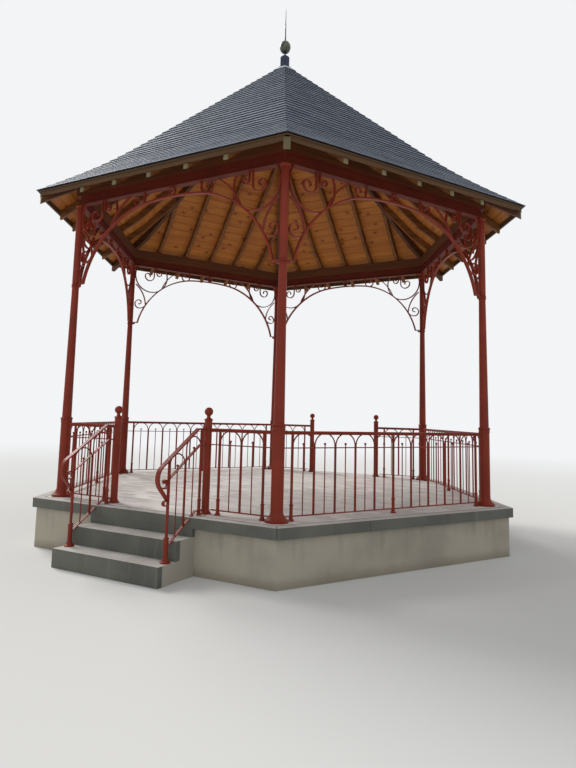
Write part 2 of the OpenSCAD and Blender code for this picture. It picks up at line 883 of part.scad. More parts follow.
module finial_pedestal()
  color("dimgray")
    union() {
      hexagon(foot_w / 2, seat_z, seat_z + foot_t);
      hexagon(pedestal_w / 2, seat_z, pedestal_top - shoulder);
      rotate_extrude($fn = 48)
        polygon(concat(
          [[0, pedestal_top - shoulder - 6]],
          [for (a = [0 : 15 : 60])
            [pedestal_w / 2 * cos(a), pedestal_top - shoulder + (shoulder - 8) * sin(a)]],
          [[pedestal_w * 0.2, pedestal_top], [0, pedestal_top]]
        ));
    }

module finial_ball()
  color("olivedrab")
    rotate_extrude($fn = 48)
      polygon(concat(
        [[0, pedestal_top], [spike_d * 0.9, pedestal_top], [spike_d / 2, pedestal_top + 8]],
        [[spike_d / 2, oval_z + 2]],
        [for (a = [-75 : 15 : 75]) [oval_w / 2 * cos(a), oval_z + oval_h / 2 * (1 + sin(a))]],
        [[spike_d / 2, oval_z + oval_h], [3, oval_z + oval_h + spike_len], [0, oval_z + oval_h + spike_len]]
      ));

plinth();
floor_paving();
coping();
step(nose_1, 0, riser_h);  // stair_step_1
step(coping_line + tread_d, riser_h, 2 * riser_h);  // stair_step_2
step(coping_line, 2 * riser_h, floor_z - coping_t);  // stair_riser_3
column(1);  // column_1
column(2);  // column_2
column(3);  // column_3
column(4);  // column_4
column(5);  // column_5
column(6);  // column_6
full_railing(2);  // railing_2
full_railing(3);  // railing_3
full_railing(5);  // railing_5
full_railing(6);  // railing_6
color(IRON) short_railing(1);  // railing_front_left
color(IRON) mirror([1, 0, 0]) short_railing(1);  // railing_front_right
color(IRON) mirror([1, 0, 0]) short_railing(4);  // railing_back_left
color(IRON) short_railing(4);  // railing_back_right
newel_posts();
stair_rail(-1);  // stair_rail_left
stair_rail(1);  // stair_rail_right
arch(1);  // arch_1
arch(2);  // arch_2
arch(3);  // arch_3
arch(4);  // arch_4
arch(5);  // arch_5
arch(6);  // arch_6
ring_beam();
wall_plates();
hip_rafters();
rafters();
roof_boards();
eave_boards();
slates(1);  // slates_1
slates(2);  // slates_2
slates(3);  // slates_3
slates(4);  // slates_4
slates(5);  // slates_5
slates(6);  // slates_6
king_post();
finial_pedestal();
finial_ball();
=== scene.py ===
# %% [markdown]
# # Dressing a six-sided bandstand
# The CAD model gives every solid its true size and place. This lesson adds what it leaves
# out: separate slates, boards, paving blocks and coping slabs, the lead at the apex, a bar
# under each handrail, and the finish of each material. It starts by loading the packed
# model, which stays fixed.

import math
import random

import bmesh
import bpy
from mathutils import Matrix, Vector


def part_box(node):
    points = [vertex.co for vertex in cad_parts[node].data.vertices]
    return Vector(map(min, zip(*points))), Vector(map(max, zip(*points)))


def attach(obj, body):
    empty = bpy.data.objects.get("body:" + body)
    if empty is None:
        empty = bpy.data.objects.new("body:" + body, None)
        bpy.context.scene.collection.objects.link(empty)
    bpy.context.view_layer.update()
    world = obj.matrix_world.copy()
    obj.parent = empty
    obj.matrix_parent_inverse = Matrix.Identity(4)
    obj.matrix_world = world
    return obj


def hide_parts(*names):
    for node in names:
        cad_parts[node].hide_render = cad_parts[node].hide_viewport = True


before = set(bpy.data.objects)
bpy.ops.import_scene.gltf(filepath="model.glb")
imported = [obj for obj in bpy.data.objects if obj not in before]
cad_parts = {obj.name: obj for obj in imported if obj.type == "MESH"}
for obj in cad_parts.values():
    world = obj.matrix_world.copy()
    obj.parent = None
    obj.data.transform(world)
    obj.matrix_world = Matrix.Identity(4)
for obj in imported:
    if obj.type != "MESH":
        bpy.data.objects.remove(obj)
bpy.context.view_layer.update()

# %% [markdown]
# The building has six like sides, a sixth of a turn apart. Everything here is made for
# side 1, which faces -Y, and then turned to its place. Seen from above, a side is a
# triangle between two hips, and a hip stands half a sixth of a turn off the side's middle.

# %% Values of the plan
SIDES = 6
TURN = math.tau / SIDES
HALF_TURN = TURN / 2
HIP_SPREAD = math.tan(HALF_TURN)


def turned(n):
    """The turn that brings a piece from side 1 to side n."""
    return Matrix.Rotation(TURN * (n - 1), 4, "Z")


floor_low, floor_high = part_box("floor_paving")
coping_low, coping_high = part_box("coping")
FLOOR_Z = floor_high.z
FLOOR_REACH = floor_high.y
COPING_REACH = coping_high.y
print("floor at", round(FLOOR_Z, 3), "and", round(FLOOR_REACH, 3), "from the axis to a side")

# %% [markdown]
# A roof slope is best described by its section: how far from the axis and how high its
# lower edge, its break and its upper edge lie. The packed model holds these points
# already, so they are read from the mesh and not typed in a second time. Points that are
# closer than a hand's breadth belong to one corner of the section.

# %% Read the section of a roof layer
EDGE_ROOM = 0.002
CORNER_SPREAD = 0.05


def section(node, upper):
    """Eave, break and top of a layer over side 1, as (distance from the axis, height)."""
    seen = {
        (round(-v.co.y, 4), round(v.co.z, 4))
        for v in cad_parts[node].data.vertices
        if v.co.y < 0 and abs(v.co.x) < -v.co.y * HIP_SPREAD + EDGE_ROOM
    }
    groups = []
    for point in sorted(seen, reverse=True):
        if not groups or groups[-1][-1][0] - point[0] > CORNER_SPREAD:
            groups.append([])
        groups[-1].append(point)
    if upper:
        return [Vector(max(group, key=lambda p: (p[1], p[0]))) for group in groups]
    return [Vector(min(group, key=lambda p: (p[1], -p[0]))) for group in groups]


slate_section = section("slates_1", upper=True)
board_section = section("roof_boards", upper=False)
print("slates", [tuple(round(c, 3) for c in p) for p in slate_section])
print("boards", [tuple(round(c, 3) for c in p) for p in board_section])

# %% [markdown]
# Slates and boards lie on a slope, each with its own small frame: across the slope, up
# the slope, and square to it. A matrix made of these three directions turns a plain
# block into a laid slate. A distance beyond the top runs on along the last part.

# %% Place a block on a slope
def on_section(points, along):
    """Point, and directions up the slope and square to it, at a distance up from the eave."""
    for start, end in zip(points, points[1:]):
        part = (end - start).length
        if along < part:
            break
        along -= part
    else:
        along += part
    up = (end - start).normalized()
    at = start + up * along
    return (
        Vector((0, -at.x, at.y)),
        Vector((0, -up.x, up.y)),
        Vector((0, -up.y, -up.x)),
    )


def part_lengths(points):
    """Lengths of the straight parts of a section, from the eave up."""
    return [(end - start).length for start, end in zip(points, points[1:])]


def add_block(bm, centre, across, up, out, size):
    """A block of size (width, length, thickness) on three directions; returns its corners."""
    placed = Matrix((across * size[0], up * size[1], out * size[2])).transposed().to_4x4()
    placed.translation = centre
    return bmesh.ops.create_cube(bm, size=1, matrix=placed)["verts"]


ACROSS = Vector((1, 0, 0))
print("slope", [round(v, 3) for v in part_lengths(slate_section)])

# %% [markdown]
# The roof flattens towards the eave. Slates laid over a sharp break would gape, so a
# slater eases it. Here the straight parts are joined by a curve that starts and ends at one
# distance from the break: each of its points lies on a line between a point of the lower
# part and a point of the upper part.

# %% Ease the break in the slates
EASE_REACH = 0.55
EASE_STEPS = 8


def eased(points):
    """The section with its break replaced by a curve."""
    eave, kink, top = points
    start = kink + (eave - kink).normalized() * EASE_REACH
    end = kink + (top - kink).normalized() * EASE_REACH
    shares = [i / EASE_STEPS for i in range(EASE_STEPS + 1)]
    return [eave, *(start.lerp(kink, t).lerp(kink.lerp(end, t), t) for t in shares), top]


steep_from = part_lengths(slate_section)[0] + EASE_REACH
slate_curve = eased(slate_section)
slate_top = slate_curve[-1]
print("full pitch from", round(steep_from, 3), "up the slope")

# %% [markdown]
# Courses are laid wider than the slope and then trimmed, as a slater trims them at the
# hip. `bisect_plane` cuts all blocks at once, and `holes_fill` closes each cut end.

# %% Trim a mesh at a plane
def trim(bm, point, normal):
    """Cuts away what lies beyond the plane, on the side that the normal points to."""
    cut = bmesh.ops.bisect_plane(
        bm,
        geom=bm.verts[:] + bm.edges[:] + bm.faces[:],
        plane_co=point,
        plane_no=normal,
        clear_outer=True,
        dist=1e-6,
    )
    rims = [e for e in cut["geom_cut"] if isinstance(e, bmesh.types.BMEdge) and e.is_boundary]
    return bmesh.ops.holes_fill(bm, edges=rims)["faces"]


def trim_at_hips(bm, gap):
    """Keeps the part between the two hips of side 1, held back from both by gap."""
    new = []
    for side in (-1, 1):
        normal = Vector((side * math.cos(HALF_TURN), math.sin(HALF_TURN), 0))
        new += trim(bm, -normal * gap, normal)
    return [face for face in new if face.is_valid]


print("a hip stands", round(math.degrees(HALF_TURN)), "degrees off the middle of a side")

# %% [markdown]
# A mesh that was built becomes an object of the scene, and a piece also says which body it
# rides on.

# %% Hand over a piece
def as_object(name, bm):
    """Puts the mesh into the scene as an object of its own."""
    mesh = bpy.data.meshes.new(name)
    bm.to_mesh(mesh)
    bm.free()
    made = bpy.data.objects.new(name, mesh)
    bpy.context.scene.collection.objects.link(made)
    return made


def finished(name, bm, turn=None):
    """Turns the mesh into a piece that rides on the building."""
    bmesh.ops.recalc_face_normals(bm, faces=bm.faces)
    if turn is not None:
        bmesh.ops.transform(bm, matrix=turn, verts=bm.verts)
    piece = as_object(name, bm)
    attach(piece, "root")
    return piece


# %% [markdown]
# Slates are laid in half bond, and only about the lower half of each one shows. The tail
# lies on top of the layer and the head sinks below it, so each course casts the thin
# shadow line that makes a slated roof. No slate lies quite straight, so each one slips and
# lifts a little by chance. Three attributes tell the material about each slate: `tone` is
# its own shade of grey, `edge` marks the edge faces that get painted shade, and `rise` runs
# from 0 at the tail to 1 at the head, which places a painted shadow, with damp, under the
# next tail. The flatter courses at the eave are bedded closer, and their edges get less
# painted shade. At the hips, a narrow gap keeps two slopes apart.

# %% Lay the slates
SLATE_WIDTH = 0.22
SLATE_EXPOSURE = 0.122
SLATE_LENGTH = 0.225
SLATE_THICK = 0.008
SLATE_GAP = 0.0015
HIP_GAP = 0.001
SLATE_PROUD = 0.002
SLATE_SLIP = 0.0015
SLATE_LIFT = 0.0008
FACE_ALIGNED = 0.9
STEEP_SINK = 0.017
EAVE_SINK = 0.008
EAVE_EDGE_SHADE = 0.6


def lay_course(bm, layers, along, shift, rng):
    """One course of slates whose tails lie at a distance up from the eave."""
    steep = min(1.0, along / steep_from)
    sink = EAVE_SINK + (STEEP_SINK - EAVE_SINK) * steep
    # The edge faces get painted shade, less of it on the flatter courses at the eave.
    dark = EAVE_EDGE_SHADE + (1 - EAVE_EDGE_SHADE) * steep
    tail, up, out = on_section(slate_curve, along)
    tilt = Matrix.Rotation(-math.atan(sink / SLATE_LENGTH), 3, ACROSS)
    up, out = (tilt @ up).normalized(), (tilt @ out).normalized()
    half = -tail.y * HIP_SPREAD
    count = math.ceil(half / SLATE_WIDTH) + 1
    for i in range(-count, count + 1):
        x = (i + shift) * SLATE_WIDTH
        if abs(x) > half + SLATE_WIDTH / 2:
            continue
        slip = rng.uniform(-SLATE_SLIP, SLATE_SLIP)
        drop = SLATE_THICK / 2 - SLATE_PROUD + rng.uniform(0, SLATE_LIFT)
        centre = tail + ACROSS * x + up * (SLATE_LENGTH / 2 + slip) - out * drop
        size = (SLATE_WIDTH - SLATE_GAP, SLATE_LENGTH, SLATE_THICK)
        corners = add_block(bm, centre, ACROSS, up, out, size)
        for corner in corners:
            corner[layers["rise"]] = 1.0 if (corner.co - centre).dot(up) > 0 else 0.0
        shade = rng.random()
        for face in {face for corner in corners for face in corner.link_faces}:
            face.normal_update()
            face[layers["tone"]] = shade
            # Faces that are not top or bottom are edge faces, which the material paints dark as
            # shade.
            flat = abs(face.normal.dot(out)) > FACE_ALIGNED
            face[layers["edge"]] = 0.0 if flat else dark


def lay_slates(n):
    """All the slates of side n, trimmed at its hips and at the apex."""
    bm = bmesh.new()
    layers = {name: bm.faces.layers.float.new(name) for name in ("tone", "edge")}
    layers["rise"] = bm.verts.layers.float.new("rise")
    rng = random.Random(n)
    length = sum(part_lengths(slate_curve))
    courses = round(length / SLATE_EXPOSURE)
    for i in range(courses):
        lay_course(bm, layers, i * length / courses, (i % 2) / 2, rng)
    for face in trim_at_hips(bm, HIP_GAP):
        # The cut ends at the hips get the full painted shade.
        face[layers["edge"]] = 1.0
    trim(bm, Vector((0, -slate_top.x, slate_top.y)), Vector((0, 1, 0)))
    piece = finished(f"slates_{n}_laid", bm, turned(n))
    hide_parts(f"slates_{n}")
    return piece


slates = [lay_slates(n) for n in range(1, SIDES + 1)]
print("courses", round(sum(part_lengths(slate_curve)) / SLATE_EXPOSURE))
print("faces on a slope", len(slates[0].data.polygons))

# %% [markdown]
# The ceiling is the underside of the roof: pine boards laid along the eave, each with a
# small chamfer so that the joints read as dark lines. A UV map made of metres along and
# across each board carries the grain, so that it follows the boards on all six slopes. A
# board's tone shifts its grain, and no tone is 0, which marks faces that have none yet.

# %% Lay the roof boards
BOARD_WIDTH = 0.142
BOARD_GAP = 0.0015
BOARD_CHAMFER = 0.005
BOARD_THICK = 0.022
BOARD_SPARE = 0.2
TONES = (0.01, 1)
GRAIN_SHIFT = 9


def chamfer(bm, edges, width, steps):
    """Takes the edges off, flat with one step and softly rounded with two."""
    bmesh.ops.bevel(
        bm, geom=edges, affect="EDGES", offset=width, segments=steps, profile=0.5, material=-1
    )


def add_board(bm, along, width):
    """One board along the eave, chamfered on its lower long edges."""
    at, up, out = on_section(board_section, along + width / 2)
    half = -at.y * HIP_SPREAD + BOARD_SPARE
    centre = at + out * BOARD_THICK / 2
    corners = add_block(bm, centre, ACROSS, up, out, (2 * half, width - BOARD_GAP, BOARD_THICK))
    long_edges = {
        e
        for v in corners
        for e in v.link_edges
        if abs(e.verts[0].co.x - e.verts[1].co.x) > half
        and (e.verts[0].co - centre).dot(out) < 0
    }
    chamfer(bm, list(long_edges), BOARD_CHAMFER, 1)


def map_boards(bm, tone):
    """Writes metres along the board and up the slope to the UV map, shifted for each board."""
    uv = bm.loops.layers.uv.new("grain")
    eave, _, _ = on_section(board_section, 0)
    for face in bm.faces:
        for loop in face.loops:
            place = loop.vert.co
            loop[uv].uv = (place.x + GRAIN_SHIFT * face[tone], (place.yz - eave.yz).length)


def lay_boards(n):
    """The ceiling boards of side n, in whole boards on both parts of the slope."""
    bm = bmesh.new()
    tone = bm.faces.layers.float.new("tone")
    rng = random.Random(10 * n)
    low, high = part_lengths(board_section)
    for start, length in ((0, low), (low, high)):
        boards = round(length / BOARD_WIDTH)
        for i in range(boards):
            add_board(bm, start + i * length / boards, length / boards)
            shade = rng.uniform(*TONES)
            for face in bm.faces:
                face[tone] = face[tone] or shade
    trim_at_hips(bm, HIP_GAP)
    map_boards(bm, tone)
    return finished(f"roof_boards_{n}", bm, turned(n))


boards = [lay_boards(n) for n in range(1, SIDES + 1)]
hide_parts("roof_boards")
print("boards on a slope", round(sum(part_lengths(board_section)) / BOARD_WIDTH))

# %% [markdown]
# The floor is laid with wavy concrete blocks, which lock into each other. One block
# starts as a grid whose long sides are pushed into a zigzag with two waves, so that a
# block shifted by half its length still fits. An inset makes room for the joint, a second
# one with a drop makes the chamfer, and two Array modifiers lay the rows. The floor's
# outline then trims them.

# %% Make one paving block and lay the floor
BLOCK_LENGTH = 0.225
BLOCK_WIDTH = 0.1125
BLOCK_WAVE = 0.013
BLOCK_JOINT = 0.01
BLOCK_CHAMFER = 0.012
BLOCK_DROP = 0.006
BLOCK_SHOWN = 0.01
WAVE_STEPS = 8
WAVE_SHAPE = (0, 1, 0, -1)
SAND_DEPTH = 0.003


def add_paving_block(bm, x, y):
    """One wavy block round a place, less its share of the joint, chamfered at the top."""
    made = bmesh.ops.create_grid(bm, x_segments=WAVE_STEPS, y_segments=1, size=0.5)["verts"]
    for v in made:
        step = round((v.co.x + 0.5) * WAVE_STEPS)
        wave = WAVE_SHAPE[step % len(WAVE_SHAPE)] * BLOCK_WAVE
        v.co = Vector((x + v.co.x * BLOCK_LENGTH, y + v.co.y * BLOCK_WIDTH + wave, 0))
    faces = list({f for v in made for f in v.link_faces})
    rim = bmesh.ops.inset_region(
        bm, faces=faces, thickness=BLOCK_JOINT / 2, use_even_offset=True
    )["faces"]
    bmesh.ops.delete(bm, geom=rim, context="FACES")
    bmesh.ops.inset_region(bm, faces=faces, thickness=BLOCK_CHAMFER, use_even_offset=True)
    top = {v for f in faces for v in f.verts}
    block = {v for f in faces for v in f.verts for e in v.link_edges for v in e.verts}
    for v in block:
        v.co.z = 0 if v in top else -BLOCK_DROP
    rim_edges = [e for v in block - top for e in v.link_edges if e.is_boundary]
    walls = bmesh.ops.extrude_edge_only(bm, edges=list(set(rim_edges)))["geom"]
    lower = [v for v in walls if isinstance(v, bmesh.types.BMVert)]
    bmesh.ops.translate(bm, verts=lower, vec=(0, 0, -BLOCK_SHOWN))


def repeat(rows, name, step, reach):
    """Repeats the mesh by a step until it spans reach on both sides of its middle."""
    array = rows.modifiers.new(name, "ARRAY")
    array.use_relative_offset = False
    array.use_constant_offset = True
    array.constant_offset_displace = step
    array.count = 2 * math.ceil(reach / max(step)) + 2


def paving_rows():
    """Two rows of blocks, repeated along and across by Array modifiers, as one mesh."""
    bm = bmesh.new()
    add_paving_block(bm, 0, 0)
    add_paving_block(bm, BLOCK_LENGTH / 2, BLOCK_WIDTH)
    rows = as_object("paving_rows", bm)
    repeat(rows, "along", (BLOCK_LENGTH, 0, 0), FLOOR_REACH / math.cos(HALF_TURN))
    repeat(rows, "across", (0, 2 * BLOCK_WIDTH, 0), FLOOR_REACH)
    evaluated = rows.evaluated_get(bpy.context.evaluated_depsgraph_get())
    laid = bmesh.new()
    laid.from_mesh(evaluated.to_mesh())
    bpy.data.objects.remove(rows)
    low, high = (
        Vector((end(v.co.x for v in laid.verts), end(v.co.y for v in laid.verts), 0))
        for end in (min, max)
    )
    centred = Vector((0, 0, FLOOR_Z)) - (low + high) / 2
    bmesh.ops.translate(laid, verts=laid.verts, vec=centred)
    return laid


def lay_floor():
    """The blocks, trimmed at the six sides of the floor."""
    bm = paving_rows()
    for n in range(1, SIDES + 1):
        out = turned(n) @ Vector((0, -1, 0))
        trim(bm, out * (FLOOR_REACH - BLOCK_JOINT), out)
    return finished("paving_blocks", bm)


def add_hexagon(bm, reach, height, filled=False):
    """A six-sided ring whose sides lie at a distance from the axis."""
    placed = Matrix.Translation((0, 0, height)) @ Matrix.Rotation(HALF_TURN, 4, "Z")
    corner = reach / math.cos(HALF_TURN)
    bmesh.ops.create_circle(bm, cap_ends=filled, segments=SIDES, radius=corner, matrix=placed)


def lay_bed():
    """The bed and jointing sand between and under the blocks."""
    bm = bmesh.new()
    top = FLOOR_Z - BLOCK_DROP - SAND_DEPTH
    add_hexagon(bm, FLOOR_REACH, top, filled=True)
    below = bmesh.ops.extrude_face_region(bm, geom=bm.faces[:])["geom"]
    lower = [v for v in below if isinstance(v, bmesh.types.BMVert)]
    bmesh.ops.translate(bm, verts=lower, vec=(0, 0, floor_low.z - top))
    return finished("paving_bed", bm)


paving = lay_floor()
bed = lay_bed()
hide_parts("floor_paving")
print("faces in the paving", len(paving.data.polygons))

# %% [markdown]
# The coping is cut in slabs about a metre long, mitred at the corners, with a small
# chamfer on every edge and thin mortar joints. Each side has three slabs.

# %% Lay the coping slabs
SLABS = 3
SLAB_JOINT = 0.003
SLAB_CHAMFER = 0.004
UPWARDS = Vector((0, 0, 1))


def coping_side():
    """The slabs of side 1 as a mesh."""
    depth = coping_high.z - coping_low.z
    centre_y = -(COPING_REACH + FLOOR_REACH) / 2
    centre_z = (coping_high.z + coping_low.z) / 2
    pitch = 2 * COPING_REACH * HIP_SPREAD / SLABS
    size = (pitch - SLAB_JOINT, COPING_REACH - FLOOR_REACH, depth)
    side = bmesh.new()
    for i in range(SLABS):
        at = Vector(((i - (SLABS - 1) / 2) * pitch, centre_y, centre_z))
        add_block(side, at, ACROSS, Vector((0, 1, 0)), UPWARDS, size)
    trim_at_hips(side, SLAB_JOINT / 2)
    bmesh.ops.recalc_face_normals(side, faces=side.faces)
    chamfer(side, side.edges[:], SLAB_CHAMFER, 2)
    mesh = bpy.data.meshes.new("coping_side")
    side.to_mesh(mesh)
    side.free()
    return mesh


def lay_coping():
    """The slabs of one side, turned on by one side at a time and gathered."""
    bm = bmesh.new()
    mesh = coping_side()
    for _ in range(SIDES):
        mesh.transform(turned(2))
        bm.from_mesh(mesh)
    bpy.data.meshes.remove(mesh)
    return finished("coping_slabs", bm)


coping = lay_coping()
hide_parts("coping")
print("slabs in the coping", SIDES * SLABS)

# %% [markdown]
# Where the pedestal stands on the point of the roof, a skirt of lead keeps the rain out.
# It is a six-sided ring, spread outwards over the slates and given the thickness of lead.

# %% Dress the apex with lead
LEAD_REACH = 0.075
LEAD_THICK = 0.003
LEAD_LIFT = 0.001


def lead_skirt():
    """The lead from the top of the slates outwards, lifted a little over them."""
    bm = bmesh.new()
    below = slate_curve[-2]
    slope = (below.y - slate_top.y) / (below.x - slate_top.x)
    inner = slate_top.x + LEAD_LIFT
    for reach in (inner, inner + LEAD_REACH):
        height = slate_top.y + slope * (reach - slate_top.x)
        add_hexagon(bm, reach, height + SLATE_PROUD + LEAD_LIFT)
    bmesh.ops.bridge_loops(bm, edges=bm.edges[:])
    bmesh.ops.recalc_face_normals(bm, faces=bm.faces)
    bmesh.ops.solidify(bm, geom=bm.faces[:], thickness=-LEAD_THICK)
    return finished("apex_lead", bm)


lead = lead_skirt()
print("lead from", round(slate_top.x, 3), "out to", round(slate_top.x + LEAD_REACH, 3))

# %% [markdown]
# A handrail is a shaped cap on a flat bar, and the tops of the hairpins are hidden behind
# the bar. The packed model has the cap alone, so the bar is added under it. Its ends are
# those of the cap, measured along the rail between the points of the cap's own top.

# %% Hang a bar under each handrail
CAP_THICK = 0.016
BAR_DEPTH = 0.02
BAR_WIDTH = 0.03
BAR_EDGE = 0.003
TOP_ROOM = 0.001
RAIL_SIDES = {
    "railing_2": 2,
    "railing_3": 3,
    "railing_5": 5,
    "railing_6": 6,
    "railing_front_left": 1,
    "railing_front_right": 1,
    "railing_back_left": 4,
    "railing_back_right": 4,
}


def add_rail_bar(bm, node, n):
    """The bar under the handrail of a railing that stands on side n."""
    along = turned(n).to_3x3() @ ACROSS
    out = turned(n).to_3x3() @ Vector((0, -1, 0))
    _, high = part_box(node)
    points = (v.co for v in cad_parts[node].data.vertices)
    cap = [point for point in points if point.z > high.z - TOP_ROOM]
    ends = min(p.dot(along) for p in cap), max(p.dot(along) for p in cap)
    middle = (min(p.dot(out) for p in cap) + max(p.dot(out) for p in cap)) / 2
    centre = along * sum(ends) / 2 + out * middle
    centre.z = high.z - CAP_THICK - BAR_DEPTH / 2
    add_block(bm, centre, along, out, UPWARDS, (ends[1] - ends[0], BAR_WIDTH, BAR_DEPTH))


def rail_bars():
    """All the bars as one piece, with their edges taken off."""
    bm = bmesh.new()
    for node, n in RAIL_SIDES.items():
        add_rail_bar(bm, node, n)
    chamfer(bm, bm.edges[:], BAR_EDGE, 2)
    return finished("handrail_bars", bm)


bars = rail_bars()
print("bars under", len(RAIL_SIDES), "handrails")

# %% [markdown]
# Materials are drawn as sums. `Value` wraps one output of a shader node, and the usual
# operators add the Math nodes, so that `1 - mask * 0.3` can be written as it is read.

# %% A value in a shader
class Value:
    def __init__(self, drawing, socket):
        self.drawing = drawing
        self.socket = socket

    def math(self, operation, *others):
        inputs = {0: self} | {i + 1: other for i, other in enumerate(others)}
        return self.drawing.node("ShaderNodeMath", {"operation": operation}, inputs)

    def __add__(self, other):
        return self.math("ADD", other)

    def __mul__(self, other):
        return self.math("MULTIPLY", other)

    def __sub__(self, other):
        return self.math("SUBTRACT", other)

    def __truediv__(self, other):
        return self.math("DIVIDE", other)

    def __rsub__(self, other):
        return self.drawing.node("ShaderNodeMath", {"operation": "SUBTRACT"}, {0: other, 1: self})

    def __neg__(self):
        return self * -1

    __radd__ = __add__
    __rmul__ = __mul__

    def between(self, low, high):
        """0 below low, 1 above high, and a smooth rise between them."""
        settings = {"interpolation_type": "SMOOTHSTEP"}
        inputs = {"Value": self, "From Min": low, "From Max": high}
        return self.drawing.node("ShaderNodeMapRange", settings, inputs)


print("besides its operators, a value has", [n for n in vars(Value) if n[0] != "_"])

# %% [markdown]
# `Drawing` holds the nodes of a material or of the sky. Its `node` method adds any node:
# the settings first, then the values or links of its sockets. `Finish` is the drawing of
# one material, with methods that are named for what they draw.

# %% A drawing and a finish
class Drawing:
    def __init__(self, owner):
        owner.use_nodes = True
        self.tree = owner.node_tree
        self.tree.nodes.clear()

    def node(self, kind, settings=None, inputs=None, output=0):
        made = self.tree.nodes.new(kind)
        for name, value in (settings or {}).items():
            setattr(made, name, value)
        for name, value in (inputs or {}).items():
            if isinstance(value, Value):
                self.tree.links.new(value.socket, made.inputs[name])
            else:
                made.inputs[name].default_value = value
        return Value(self, made.outputs[output]) if made.outputs else None


class Finish(Drawing):
    def __init__(self, name):
        self.material = bpy.data.materials.new(name)
        super().__init__(self.material)

    def place(self):
        """Position in the building's own frame."""
        return self.node("ShaderNodeTexCoord", output="Object")

    def parts(self, vector):
        """The three numbers of a position."""
        split = self.node("ShaderNodeSeparateXYZ", inputs={0: vector})
        outputs = split.socket.node.outputs
        return [Value(self, outputs[i]) for i in range(3)]

    def joined(self, x, y, z):
        return self.node("ShaderNodeCombineXYZ", inputs={0: x, 1: y, 2: z})

    def noise(self, vector, scale, detail=3.0, rough=0.55):
        inputs = {"Vector": vector, "Scale": scale, "Detail": detail, "Roughness": rough}
        return self.node("ShaderNodeTexNoise", inputs=inputs)

    def mixed(self, mask, first, second):
        """The first colour where the mask is 0, the second where it is 1."""
        inputs = {0: mask, 6: first, 7: second}
        return self.node("ShaderNodeMix", {"data_type": "RGBA"}, inputs, output=2)

    def bump(self, height, depth):
        inputs = {"Height": height, "Distance": depth, "Strength": 1.0}
        return self.node("ShaderNodeBump", inputs=inputs)

    def surface(self, color, roughness, normal=None, gloss=0.5, metallic=0.0):
        """Ends the material with its shader."""
        inputs = {
            "Base Color": color,
            "Roughness": roughness,
            "Specular IOR Level": gloss,
            "Metallic": metallic,
        }
        if normal is not None:
            inputs["Normal"] = normal
        shader = self.node("ShaderNodeBsdfPrincipled", inputs=inputs)
        self.node("ShaderNodeOutputMaterial", inputs={"Surface": shader})
        return self.material


def rgb(r, g, b):
    """A screen colour, 0 to 255, in linear numbers by the curve of the sRGB standard."""
    return (
        *(c / 255 / 12.92 if c < 10 else ((c / 255 + 0.055) / 1.055) ** 2.4 for c in (r, g, b)),
        1.0,
    )


print("a mid grey is", round(rgb(128, 128, 128)[0], 3))

# %% [markdown]
# Grain and streaks have to follow each side of the building. The shader finds the side
# that a point belongs to from its angle round the axis, and turns the position back to
# side 1, where x runs along the side, y runs inwards and z is up.

# %% Position on a side
def side_place(finish, hips=False):
    """Position turned back to side 1, or to the nearest hip, and the number of the side."""
    place = finish.place()
    x, y, _ = finish.parts(place)
    angle = x.math("ARCTAN2", -y)
    steps = angle / TURN + (0 if hips else 0.5)
    number = steps.math("FLOOR")
    turn = (number + (0.5 if hips else 0)) * -TURN
    turned_back = finish.node(
        "ShaderNodeVectorRotate", {"rotation_type": "Z_AXIS"}, {"Vector": place, "Angle": turn}
    )
    return turned_back, number


print("each side spans", round(math.degrees(TURN)), "degrees round the axis")

# %% [markdown]
# Cast and wrought iron here carries one oxide red paint. A real coat varies a little in
# tone, is slightly duller in patches, and shows the roughness of the casting under it. The
# steel beam has the same paint, rolled on thinner and more matt, with its red darkened as
# painted shade under the roof.

# %% Paint for the iron
def scaled(color, factor, lift=0.0):
    """A darker or paler version of a colour."""
    return (*(min(1, c * factor + lift) for c in color[:3]), 1.0)


def iron_paint(name, color, dull, grain):
    finish = Finish(name)
    place = finish.place()
    cloud = finish.noise(place, 3.0)
    fine = finish.noise(place, 60.0, 4.0)
    tone = finish.mixed(cloud.between(0.35, 0.7), color, scaled(color, 0.82))
    worn = finish.mixed(fine.between(0.55, 0.8) * 0.25, tone, scaled(color, 1.35, 0.01))
    relief = finish.bump(fine + finish.noise(place, 260.0, 2.0) * 0.5, grain)
    return finish.surface(worn, dull + cloud * 0.12, relief, gloss=0.18)


IRON_RED = rgb(134, 50, 33)
iron = iron_paint("iron_paint", IRON_RED, dull=0.4, grain=0.0006)
# The beam's red is darkened as painted shade under the roof.
steel_in_shade = iron_paint("beam_paint_in_shade", rgb(106, 40, 27), dull=0.55, grain=0.0004)
print("red paint", [round(c, 3) for c in IRON_RED])

# %% [markdown]
# The plinth is rendered: a cream cement coat with a sandy surface, broad patches of
# damp, faint runs below the coping and a darker splash zone along the ground.

# %% Render on the plinth
SPLASH_HEIGHT = 0.13
RUNS_FADE = (0.05, 0.45)


def cement_render():
    finish = Finish("cement_render")
    place, _ = side_place(finish)
    x, y, z = finish.parts(place)
    patches = finish.noise(place, 1.3, 5.0)
    runs = finish.noise(finish.joined(x * 9, y * 9, z * 0.7), 1.0, 4.0)
    sand = finish.noise(place, 320.0, 3.0, 0.7)
    grit = finish.noise(place, 70.0, 4.0)
    base = finish.mixed(patches.between(0.38, 0.66), rgb(178, 170, 154), rgb(158, 152, 139))
    darkening = runs.between(0.52, 0.75) * z.between(*RUNS_FADE) * 0.5
    streaked = finish.mixed(darkening, base, rgb(134, 127, 112))
    splash = (1 - (z + (grit - 0.5) * 0.08).between(0.0, SPLASH_HEIGHT)) * 0.55
    dirty = finish.mixed(splash, streaked, rgb(122, 112, 95))
    relief = finish.bump(sand * 0.7 + grit * 0.6 + patches * 1.5, 0.0025)
    return finish.surface(dirty, 0.9, relief)


render_coat = cement_render()
print("render made")
